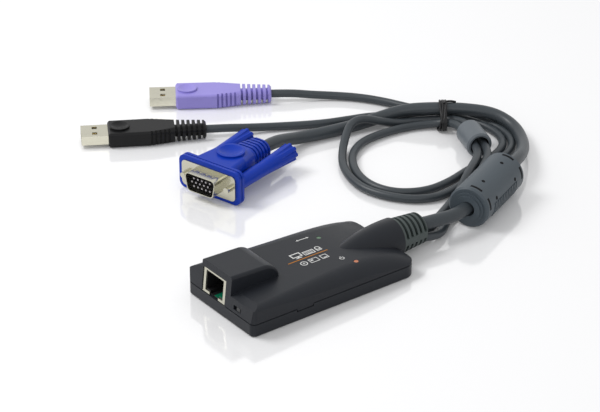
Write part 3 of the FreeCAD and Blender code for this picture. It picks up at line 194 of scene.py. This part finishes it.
# plastic: colour, roughness, grains per metre, grain depth, patchiness
# metal: colour, roughness
finishes = {
    "case": plastic("caseBlack", (0.0135, 0.0155, 0.02), 0.38, 2200, 0.2, 0.3, specular=0.2),
    "board": plastic("boardGreen", (0.01, 0.16, 0.07), 0.3, 900, 0.05),
    "jack_insert": plastic("jackBlack", (0.008, 0.008, 0.009), 0.4, specular=0.2),
    "steel": metal("plateSteel", (0.56, 0.545, 0.45), 0.22),
    "gold": metal("contactGold", (0.9, 0.68, 0.3), 0.22),
    "green_lens": plastic("greenLens", (0.04, 0.12, 0.05), 0.2, coat=0.5),
    "orange_lens": plastic("orangeLens", (0.45, 0.12, 0.03), 0.2, coat=0.5),
    "led": plastic("ledWhite", (0.8, 0.8, 0.75), 0.3),
    "chip": plastic("chipBlack", (0.03, 0.03, 0.033), 0.5),
    "crystal_can": metal("crystalCan", (0.75, 0.75, 0.77), 0.3),
    "header": plastic("headerIvory", (0.8, 0.78, 0.7), 0.4),
    "slider": plastic("sliderBlack", (0.02, 0.02, 0.02), 0.4),
    "relief": plastic("reliefRubber", (0.05, 0.064, 0.062), 0.5, 1600, 0.25, specular=0.35),
    "cord": plastic("cordJacket", (0.036, 0.044, 0.051), 0.4, 1200, 0.15, 0.3, specular=0.38),
    "ferrite_cover": plastic("ferriteCover", (0.06, 0.076, 0.09), 0.45, 1500, 0.3,
                             specular=0.3),
    "ferrite": plastic("ferriteGrey", (0.06, 0.06, 0.065), 0.7),
    "tie": plastic("tieBlack", (0.006, 0.006, 0.007), 0.35, specular=0.3),
    "usb_black": plastic("plugBlack", (0.0095, 0.0095, 0.01), 0.36, specular=0.15),
    "usb_purple": plastic("plugPurple", (0.29, 0.25, 0.64), 0.42, specular=0.3),
    "tongue": plastic("tongueWhite", (0.8, 0.8, 0.78), 0.35),
    "vga_blue": plastic("plugBlue", (0.003, 0.034, 0.37), 0.34, specular=0.16),
    "vga_insert": plastic("insertBlack", (0.008, 0.008, 0.014), 0.4, specular=0.25),
}
pinSilver = metal("pinSilver", (0.38, 0.36, 0.37), 0.35)
# painted shade: a darker grey for the sheet under the ferrite ribs, standing for the shade in the
# grooves between them
ribGapShade = plastic("ribGapShade", (0.022, 0.028, 0.033), 0.5, 1500, 0.3, specular=0.25)
portGreen = plastic("portGreen", (0.003, 0.13, 0.065), 0.25, 900, 0.05)
# painted shade: near-black for the insides of the latch slots and dots on the ferrite cover
paintedGapShade = plastic("paintedGapShade", (0.003, 0.003, 0.004), 0.6, specular=0.1)
smallCover = plastic("smallCover", (0.105, 0.122, 0.138), 0.42, 1500, 0.3, specular=0.4)
printWhite = plastic("printWhite", (0.62, 0.62, 0.61), 0.55, 3000, 0.1, 0.25, specular=0.2)
printOrange = plastic("printOrange", (0.42, 0.16, 0.02), 0.55, 3000, 0.1, 0.3, specular=0.2)
ownFinish = {"vga_pins": pinSilver, "small_ferrite_cover": smallCover}
slotOf = {s["node"]: s["material_slot"] for s in frame["record"]["subparts"]}
for nodeName, nodeObject in nodes.items():
    nodeObject.data.materials.clear()
    nodeObject.data.materials.append(ownFinish.get(nodeName) or finishes[slotOf[nodeName]])
print("materials on the packed pieces")


cordSizes = {"videoDiameter": 6.0 * mm, "usbDiameter": 3.9 * mm, "videoLength": 0.2636,
             "purpleLength": 0.4745, "blackLength": 0.457, "roundness": 8, "smoothness": 10}


def layCurve(name, route, diameter, material):
    curve = bpy.data.curves.new(name, "CURVE")
    curve.dimensions = "3D"
    curve.resolution_u = cordSizes["smoothness"]
    curve.bevel_depth = diameter / 2
    curve.bevel_resolution = cordSizes["roundness"]
    curve.use_fill_caps = True
    spline = curve.splines.new("NURBS")
    spline.points.add(len(route) - 1)
    for point, (x, y, z) in zip(spline.points, route):
        point.co = (x, y, z, 1)
    spline.order_u = 3
    spline.use_endpoint_u = True
    piece = bpy.data.objects.new(name, curve)
    bpy.context.scene.collection.objects.link(piece)
    curve.materials.append(material)
    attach(piece, "adapter")
    return piece


def layCord(name, nodeName, route, diameter):
    piece = layCurve(name, route, diameter, finishes["cord"])
    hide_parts(nodeName)


# each route runs from the strain relief to its plug, in metres
videoRoute = [
    (0.0595, -0.003, 0.01), (0.067, -0.0046, 0.01), (0.0832, -0.0064, 0.00975),
    (0.1086, 0.0054, 0.00975), (0.1354, 0.0177, 0.00975), (0.149, 0.0282, 0.0058),
    (0.158, 0.0394, 0.0043), (0.1634, 0.0514, 0.005), (0.1609, 0.0634, 0.0076),
    (0.1513, 0.074, 0.0084), (0.1393, 0.0839, 0.0084), (0.129, 0.0929, 0.0069),
    (0.118, 0.0973, 0.0042), (0.107, 0.0995, 0.0031), (0.095, 0.1008, 0.0031),
    (0.0845, 0.103, 0.0031), (0.075, 0.1043, 0.0037), (0.066, 0.1028, 0.0062),
    (0.0573, 0.1003, 0.0083), (0.0495, 0.0981, 0.00845)]
purpleRoute = [
    (0.0595, -0.0053, 0.0049), (0.0665, -0.0059, 0.0032), (0.074, -0.0036, 0.0021),
    (0.0812, 0.0027, 0.0021), (0.0919, 0.0083, 0.0021), (0.1042, 0.0142, 0.003),
    (0.1166, 0.0219, 0.0064), (0.134, 0.0343, 0.0064), (0.1405, 0.0516, 0.0064),
    (0.1468, 0.0688, 0.0056), (0.1426, 0.081, 0.0029), (0.133, 0.0875, 0.0021),
    (0.1245, 0.0899, 0.0023), (0.115, 0.0922, 0.0053), (0.1065, 0.0946, 0.0086),
    (0.0987, 0.0941, 0.0087), (0.0913, 0.0887, 0.0058), (0.0843, 0.082, 0.0028),
    (0.0772, 0.0726, 0.0021), (0.0722, 0.0606, 0.0021), (0.0707, 0.0481, 0.0021),
    (0.0749, 0.0362, 0.0021), (0.0834, 0.026, 0.0021), (0.0945, 0.0217, 0.0021),
    (0.1068, 0.0242, 0.0021), (0.121, 0.0289, 0.0021), (0.1359, 0.0322, 0.0021),
    (0.1496, 0.0368, 0.0021), (0.1577, 0.0462, 0.0021), (0.1604, 0.0583, 0.0021),
    (0.1584, 0.0708, 0.0021), (0.1527, 0.0825, 0.0029), (0.1446, 0.0916, 0.0021),
    (0.1388, 0.1016, 0.0021), (0.134, 0.1125, 0.0021), (0.127, 0.1235, 0.0021),
    (0.1185, 0.1323, 0.0021), (0.1093, 0.1389, 0.0027), (0.1009, 0.1444, 0.0039),
    (0.0928, 0.1497, 0.0039)]
blackRoute = [
    (0.0595, -0.0009, 0.0049), (0.0665, -0.0006, 0.0032), (0.0734, 0.0025, 0.0021),
    (0.0802, 0.0074, 0.0021), (0.0904, 0.0126, 0.0021), (0.1018, 0.0183, 0.0034),
    (0.1132, 0.0256, 0.0068), (0.1307, 0.0374, 0.0064), (0.1365, 0.0531, 0.0064),
    (0.1424, 0.0689, 0.0056), (0.1391, 0.0782, 0.0029), (0.1304, 0.0833, 0.0021),
    (0.1215, 0.0857, 0.0021), (0.111, 0.0867, 0.0021), (0.0993, 0.0857, 0.0021),
    (0.0893, 0.0803, 0.0021), (0.0815, 0.0708, 0.0021), (0.0763, 0.0591, 0.0021),
    (0.0754, 0.0468, 0.0021), (0.0807, 0.0359, 0.0021), (0.0925, 0.0295, 0.0021),
    (0.1058, 0.0301, 0.0021), (0.1184, 0.0335, 0.0021), (0.1297, 0.0356, 0.0021),
    (0.1403, 0.0379, 0.0021), (0.1497, 0.0428, 0.0021), (0.1549, 0.051, 0.0021),
    (0.1563, 0.0612, 0.0021), (0.1543, 0.0712, 0.0021), (0.148, 0.0813, 0.0029),
    (0.1385, 0.0893, 0.0021), (0.1285, 0.0983, 0.0021), (0.118, 0.1044, 0.0021),
    (0.107, 0.1078, 0.0021), (0.096, 0.1116, 0.0021), (0.085, 0.1173, 0.0021),
    (0.0735, 0.124, 0.0021), (0.0626, 0.1288, 0.003), (0.05375, 0.13285, 0.0039),
    (0.0457, 0.1375, 0.0039)]
layCord("videoCord", "video_cord", videoRoute, cordSizes["videoDiameter"])
layCord("usbCordPurple", "usb_cord_purple", purpleRoute, cordSizes["usbDiameter"])
layCord("usbCordBlack", "usb_cord_black", blackRoute, cordSizes["usbDiameter"])
print("cords laid")


def finishMesh(name, bm, material, body):
    bmesh.ops.recalc_face_normals(bm, faces=bm.faces[:])
    mesh = bpy.data.meshes.new(name)
    bm.to_mesh(mesh)
    bm.free()
    mesh.materials.append(material)
    piece = bpy.data.objects.new(name, mesh)
    bpy.context.scene.collection.objects.link(piece)
    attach(piece, body)


# millimetres on the roof; a part of a sign is its shift from the middle, width and height
printSizes = {"lift": 0.01, "thickness": 0.04, "rayHeight": 50, "ringSteps": 28}
roofLine = {"at": (1.5, -1.4), "length": 21.0, "width": 0.5, "turn": 0.8, "cuts": 24}
screen = {"at": (-2.0, 2.5), "size": (5.2, 3.3), "stroke": 0.585,
          "parts": ((0, -1.95, 0.8, 0.7), (0, -2.5, 3.0, 0.5))}   # neck and foot
keyboard = {"at": (4.2, 1.6), "size": (5.6, 3.0), "stroke": 0.45, "rows": 2, "keys": 4,
            "firstKey": (-1.5, 0.55), "pitch": (1.0, -0.8), "key": (0.6, 0.5),
            "bar": (0, -0.95, 3.0, 0.35)}
mouse = {"at": (9.3, 2.5), "radius": 1.3, "length": 1.9, "stroke": 0.45}
disc = {"at": (-3.2, -5.0), "radius": 1.7, "stroke": 0.45, "holeRadius": 0.5, "holeStroke": 0.3}
card = {"at": (2.0, -5.0), "size": (4.6, 3.2), "stroke": 0.36, "parts": ((-0.9, 0.3, 1.2, 1.0),)}
drive = {"at": (7.4, -5.0), "size": (3.4, 3.2), "stroke": 0.36, "parts": ((0, -0.8, 1.8, 0.5),)}
linkSign = {"at": (8.7, 12.3), "length": 4.6, "width": 0.4, "turn": -2, "cuts": 4,
            "arrowAt": 2.6, "arrowRise": 0.1, "arrowSize": 0.75}
powerSign = {"at": (12.6, -10.6), "radius": 1.15, "stroke": 0.36, "opening": 70,
             "bar": (0, 0.85, 0.36, 1.3)}


def addPatch(bm, x, y, width, height, turn=0.0, cuts=2):
    place = (Matrix.Translation((x, y, 0)) @ Matrix.Rotation(math.radians(turn), 4, "Z")
             @ Matrix.Diagonal((width, height, 1, 1)))
    bmesh.ops.create_grid(bm, x_segments=cuts, y_segments=1, size=0.5, matrix=place)


def addFrame(bm, x, y, width, height, stroke):
    for side in (-1, 1):
        addPatch(bm, x, y + side * (height - stroke) / 2, width, stroke, cuts=4)
        addPatch(bm, x + side * (width - stroke) / 2, y, stroke, height - 2 * stroke)


def addPart(bm, sign, part):
    shiftX, shiftY, width, height = part
    addPatch(bm, sign["at"][0] + shiftX, sign["at"][1] + shiftY, width, height)


def addFramedSign(bm, sign):
    addFrame(bm, *sign["at"], *sign["size"], sign["stroke"])
    for part in sign.get("parts", ()):
        addPart(bm, sign, part)


def addRing(bm, x, y, radius, stroke, opening=0):
    start = math.radians(90 + opening / 2)
    ends = [bm.verts.new((x + r * math.cos(start), y + r * math.sin(start), 0))
            for r in (radius - stroke, radius)]
    edge = bm.edges.new(ends)
    bmesh.ops.spin(bm, geom=ends + [edge], cent=(x, y, 0), axis=(0, 0, 1),
                   angle=math.radians(360 - opening), steps=printSizes["ringSteps"],
                   use_merge=opening == 0)


def addArrow(bm, x, y, size, turn):
    place = Matrix.Translation((x, y, 0)) @ Matrix.Rotation(math.radians(turn), 4, "Z")
    bmesh.ops.create_circle(bm, cap_ends=True, segments=3, radius=size, matrix=place)


def layPrint(name, bm, material):   # pressed down on the roof, then given the ink's thickness
    roof = bmesh.new()
    roof.from_mesh(nodes["top_cover"].data)
    tree = BVHTree.FromBMesh(roof)
    bmesh.ops.scale(bm, vec=(mm, mm, mm), verts=bm.verts[:])
    for vert in bm.verts:
        above = Vector((vert.co.x, vert.co.y, printSizes["rayHeight"] * mm))
        spot = tree.ray_cast(above, Vector((0, 0, -1)))[0]
        vert.co.z = spot.z + printSizes["lift"] * mm
    roof.free()
    raised = bmesh.ops.extrude_face_region(bm, geom=bm.faces[:], use_keep_orig=True)["geom"]
    bmesh.ops.translate(bm, vec=(0, 0, printSizes["thickness"] * mm),
                        verts=[v for v in raised if isinstance(v, bmesh.types.BMVert)])
    finishMesh(name, bm, material, "adapter")


def buildLine():
    bm = bmesh.new()
    addPatch(bm, *roofLine["at"], roofLine["length"], roofLine["width"], roofLine["turn"],
             roofLine["cuts"])
    layPrint("printLine", bm, printOrange)


def buildSigns():
    bm = bmesh.new()
    addFramedSign(bm, screen)
    addFramedSign(bm, keyboard)
    for row in range(keyboard["rows"]):
        for count in range(keyboard["keys"]):
            addPart(bm, keyboard, (keyboard["firstKey"][0] + count * keyboard["pitch"][0],
                                   keyboard["firstKey"][1] + row * keyboard["pitch"][1],
                                   *keyboard["key"]))
    addPart(bm, keyboard, keyboard["bar"])
    radius, length, stroke = mouse["radius"], mouse["length"], mouse["stroke"]
    addRing(bm, *mouse["at"], radius, stroke)
    addPart(bm, mouse, (0, -length, 2 * radius, stroke))
    for side in (-1, 1):
        addPart(bm, mouse, (side * (radius - stroke / 2), -length / 2, stroke, length))
    addRing(bm, *disc["at"], disc["radius"], disc["stroke"])
    addRing(bm, *disc["at"], disc["holeRadius"], disc["holeStroke"])
    addFramedSign(bm, card)
    addFramedSign(bm, drive)
    layPrint("printSigns", bm, printWhite)


def buildMarks():   # a link sign and a power sign beside the lights
    bm = bmesh.new()
    x, y = linkSign["at"]
    addPatch(bm, x, y, linkSign["length"], linkSign["width"], linkSign["turn"],
             linkSign["cuts"])
    for side in (-1, 1):
        addArrow(bm, x + side * linkSign["arrowAt"], y - side * linkSign["arrowRise"],
                 linkSign["arrowSize"], linkSign["turn"] - 90 * side)
    addRing(bm, *powerSign["at"], powerSign["radius"], powerSign["stroke"],
            powerSign["opening"])
    addPart(bm, powerSign, powerSign["bar"])
    layPrint("printMarks", bm, printWhite)


buildLine()
buildSigns()
buildMarks()
print("print on the roof")


ferrite = {"start": (86.8, -4.7, 9.75), "yaw": 24.8, "length": 41.5, "radius": 9.75,
           "ribPitch": 1.75, "ribs": 14, "ribStart": 9.0, "ribWidth": 1.0, "ribHeight": 0.3,
           "ribTurn": (82, 124), "ribRoot": 0.3, "ribBevel": 0.06, "shadeSheetHeight": 0.06,
           "latchAt": 3.9, "latchWidth": 1.3, "latchSweep": 34, "latchRoot": 0.6,
           "dotAt": 10.9, "dotRadius": 0.85, "dotSides": 20, "rows": (15, 73), "proud": 0.05,
           "arcSteps": 10}   # millimetres and degrees; a root is how far a bar goes in


def addArcBar(bm, along, width, low, high, fromTurn, toTurn):
    place = (Matrix.Rotation(math.radians(fromTurn), 4, "X")
             @ Matrix.Translation((along, 0, (low + high) / 2))
             @ Matrix.Rotation(math.pi / 2, 4, "X")
             @ Matrix.Diagonal((width, high - low, 1, 1)))
    made = bmesh.ops.create_grid(bm, x_segments=1, y_segments=1, size=0.5, matrix=place)
    face = made["verts"][0].link_faces[0]
    geom = [face] + list(face.edges) + list(face.verts)
    bmesh.ops.spin(bm, geom=geom, cent=(0, 0, 0), axis=(1, 0, 0),
                   angle=math.radians(toTurn - fromTurn), steps=ferrite["arcSteps"])


def seatOnFerrite(bm):
    bmesh.ops.transform(bm, verts=bm.verts[:], matrix=Matrix.Scale(mm, 4)
                        @ Matrix.Translation(ferrite["start"])
                        @ Matrix.Rotation(math.radians(ferrite["yaw"]), 4, "Z"))


def buildFerriteDetail():
    radius = ferrite["radius"]
    ribs = bmesh.new()
    for count in range(ferrite["ribs"]):
        addArcBar(ribs, ferrite["ribStart"] + count * ferrite["ribPitch"], ferrite["ribWidth"],
                  radius - ferrite["ribRoot"], radius + ferrite["ribHeight"],
                  *ferrite["ribTurn"])
    bmesh.ops.bevel(ribs, geom=ribs.edges[:], offset=ferrite["ribBevel"], affect="EDGES",
                    segments=1, profile=0.5, material=-1)
    seatOnFerrite(ribs)
    finishMesh("ferriteRibs", ribs, finishes["ferrite_cover"], "adapter")
    # painted shade: a darker sheet spans the ribs, so the grooves between them read as shaded
    ribShadeSheet = bmesh.new()
    run = (ferrite["ribs"] - 1) * ferrite["ribPitch"]
    addArcBar(ribShadeSheet, ferrite["ribStart"] + run / 2, run, radius - ferrite["ribRoot"],
              radius + ferrite["shadeSheetHeight"], *ferrite["ribTurn"])
    seatOnFerrite(ribShadeSheet)
    finishMesh("ferriteRibShade", ribShadeSheet, ribGapShade, "adapter")
    # painted shade: dark bars and discs fill the latch slots and dots, standing for the shade
    # inside these openings
    dark = bmesh.new()
    root, proud = ferrite["latchRoot"], ferrite["proud"]
    for turn in ferrite["rows"]:
        for far in (0, 1):
            slotAt = abs(far * ferrite["length"] - ferrite["latchAt"])
            dotAt = abs(far * ferrite["length"] - ferrite["dotAt"])
            addArcBar(dark, slotAt, ferrite["latchWidth"], radius - root, radius + proud,
                      turn - ferrite["latchSweep"] / 2, turn + ferrite["latchSweep"] / 2)
            place = (Matrix.Rotation(math.radians(turn), 4, "X")
                     @ Matrix.Translation((dotAt, 0, radius - root / 2)))
            bmesh.ops.create_cone(dark, cap_ends=True, segments=ferrite["dotSides"],
                                  radius1=ferrite["dotRadius"], radius2=ferrite["dotRadius"],
                                  depth=root + 2 * proud, matrix=place)
    seatOnFerrite(dark)
    finishMesh("ferriteSlotShade", dark, paintedGapShade, "adapter")


buildFerriteDetail()
print("ferrite latches and ribs")


# green board that shows on the floor of the opening; ledge and notch: right, left, floor
jackStrip = {"ends": (-42.2, -35.0), "ledge": (-0.75, 1.8, 7.8), "notch": (2.0, 5.4, 6.6),
             "thickness": 0.15, "bevel": 0.04}


def buildJackStrip():
    strip = bmesh.new()
    start, end = jackStrip["ends"]
    thick = jackStrip["thickness"]
    for right, left, floor in (jackStrip["ledge"], jackStrip["notch"]):
        place = (Matrix.Translation(((start + end) / 2, (right + left) / 2, floor + thick / 2))
                 @ Matrix.Diagonal((end - start, left - right, thick, 1)))
        bmesh.ops.create_cube(strip, size=1, matrix=place)
    bmesh.ops.bevel(strip, geom=strip.edges[:], offset=jackStrip["bevel"], affect="EDGES",
                    segments=2, profile=0.5, material=-1)
    bmesh.ops.scale(strip, vec=(mm, mm, mm), verts=strip.verts[:])
    finishMesh("jackBoardStrip", strip, portGreen, "adapter")


buildJackStrip()
print("board strip in the jack")


# millimetres; a loop point is across, up, and its share of the shift from foot to top
tie = {"place": (144.3, 80.5, 0), "yaw": 143.0, "diameter": 1.0,
       "strands": ((2.9, 0.5), (1.7, -0.9), (0.2, 2.2)),   # shift at the foot and at the top
       "loop": ((-8.7, 0.56, 0), (0, 0.56, 0), (8.0, 0.56, 0), (9.9, 1.4, 0.1), (10.9, 3.4, 0.3),
                (10.5, 5.9, 0.5), (9.2, 7.3, 0.65), (6.2, 9.6, 0.8), (3.4, 11.6, 0.9),
                (0.6, 12.1, 1), (-1.9, 11.5, 0.9), (-3.9, 9.9, 0.8), (-6.8, 7.3, 0.6),
                (-9.9, 4.9, 0.4), (-10.9, 3.0, 0.2), (-10.6, 1.4, 0)),
       "tail": ((0.3, 2.6, 11.95), (-0.9, 1.0, 12.3), (-2.6, 0.4, 12.2), (-4.4, 0.1, 11.9),
                (-5.6, 0.0, 11.5))}


def layTie():
    place = (Matrix.Scale(mm, 4) @ Matrix.Translation(tie["place"])
             @ Matrix.Rotation(math.radians(tie["yaw"]), 4, "Z"))
    for count, (foot, top) in enumerate(tie["strands"], 1):
        turns = [(foot + (top - foot) * share, y, z) for y, z, share in tie["loop"]]
        layCurve("tieStrand%d" % count, [place @ Vector(p) for p in turns + turns[:2]],
                 tie["diameter"] * mm, finishes["tie"])
    layCurve("tieTail", [place @ Vector(p) for p in tie["tail"]], tie["diameter"] * mm,
             finishes["tie"])


layTie()
print("tie wound on")


white = (1, 1, 1, 1)
floorLook = {"halfWidth": 6, "drop": 0.00002, "colour": (0.86, 0.86, 0.87), "roughness": 0.1,
             "gloss": 0.9, "ior": 1.8, "glow": 0.06}
lamps = {"aim": (0.05, 0.05, 0), "keySpot": (-0.36, 0.5, 0.8), "keySize": 0.45,
         "keyPower": 5.0, "fillSpot": (-0.6, -0.7, 0.55), "fillSize": 0.6, "fillPower": 1.3}
studio = {"worldStrength": 0.68, "seenStrength": 1.0, "lens": 150, "sensor": 36,
          "clip": (0.05, 20), "elevation": 28.74, "azimuth": -36.81, "distance": 1.1245,
          "target": (0.04017, 0.05584, 0.0)}


def seenRays(tree):   # what the camera sees, directly, mirrored or through something clear
    rays = addNode(tree, "ShaderNodeLightPath")
    mirrored = addMath(tree, "MAXIMUM", (rays, "Is Camera Ray"), (rays, "Is Glossy Ray"))
    return addMath(tree, "MAXIMUM", (mirrored, 0), (rays, "Is Transmission Ray"))


def buildFloor():
    mesh = bpy.data.meshes.new("floor")
    bm = bmesh.new()
    bmesh.ops.create_grid(bm, x_segments=1, y_segments=1, size=floorLook["halfWidth"])
    bm.to_mesh(mesh)
    bm.free()
    floor = bpy.data.objects.new("floor", mesh)
    floor.location.z = -floorLook["drop"]
    bpy.context.scene.collection.objects.link(floor)
    material, tree, shader = startMaterial("paper")
    shader.inputs["Base Color"].default_value = (*floorLook["colour"], 1)
    shader.inputs["Roughness"].default_value = floorLook["roughness"]
    shader.inputs["Specular IOR Level"].default_value = floorLook["gloss"]
    shader.inputs["IOR"].default_value = floorLook["ior"]
    shader.inputs["Emission Color"].default_value = white
    glow = addMath(tree, "MULTIPLY", (seenRays(tree), 0), floorLook["glow"])
    tree.links.new(glow.outputs[0], shader.inputs["Emission Strength"])
    mesh.materials.append(material)


def addLamp(name, spot, size, power):
    light = bpy.data.lights.new(name, "AREA")
    light.shape = "DISK"
    light.size = size
    light.energy = power
    lamp = bpy.data.objects.new(name, light)
    lamp.location = spot
    towards = Vector(lamps["aim"]) - Vector(spot)
    lamp.rotation_euler = towards.to_track_quat("-Z", "Y").to_euler()
    bpy.context.scene.collection.objects.link(lamp)


def buildWorld():
    world = bpy.data.worlds.new("studioWorld")
    bpy.context.scene.world = world
    world.use_nodes = True
    tree = world.node_tree
    sky = tree.nodes["Background"]
    sky.inputs["Color"].default_value = white
    sky.inputs["Strength"].default_value = studio["worldStrength"]
    seen = addNode(tree, "ShaderNodeBackground", Color=white, Strength=studio["seenStrength"])
    mix = addNode(tree, "ShaderNodeMixShader")
    tree.links.new(seenRays(tree).outputs[0], mix.inputs[0])
    tree.links.new(sky.outputs[0], mix.inputs[1])
    tree.links.new(seen.outputs[0], mix.inputs[2])
    tree.links.new(mix.outputs[0], tree.nodes["World Output"].inputs[0])


def buildCamera():
    around, up = math.radians(studio["azimuth"]), math.radians(studio["elevation"])
    back = Vector((math.sin(around) * math.cos(up), -math.cos(around) * math.cos(up),
                   math.sin(up)))
    lens = bpy.data.cameras.new("camera")
    lens.lens = studio["lens"]
    lens.sensor_width = studio["sensor"]
    lens.clip_start, lens.clip_end = studio["clip"]
    camera = bpy.data.objects.new("camera", lens)
    camera.location = Vector(studio["target"]) + back * studio["distance"]
    camera.rotation_euler = (-back).to_track_quat("-Z", "Y").to_euler()
    bpy.context.scene.collection.objects.link(camera)
    bpy.context.scene.camera = camera


bpy.context.scene.view_settings.view_transform = "Standard"
buildFloor()
buildWorld()
addLamp("keyLamp", lamps["keySpot"], lamps["keySize"], lamps["keyPower"])
addLamp("fillLamp", lamps["fillSpot"], lamps["fillSize"], lamps["fillPower"])
buildCamera()
print("studio ready")
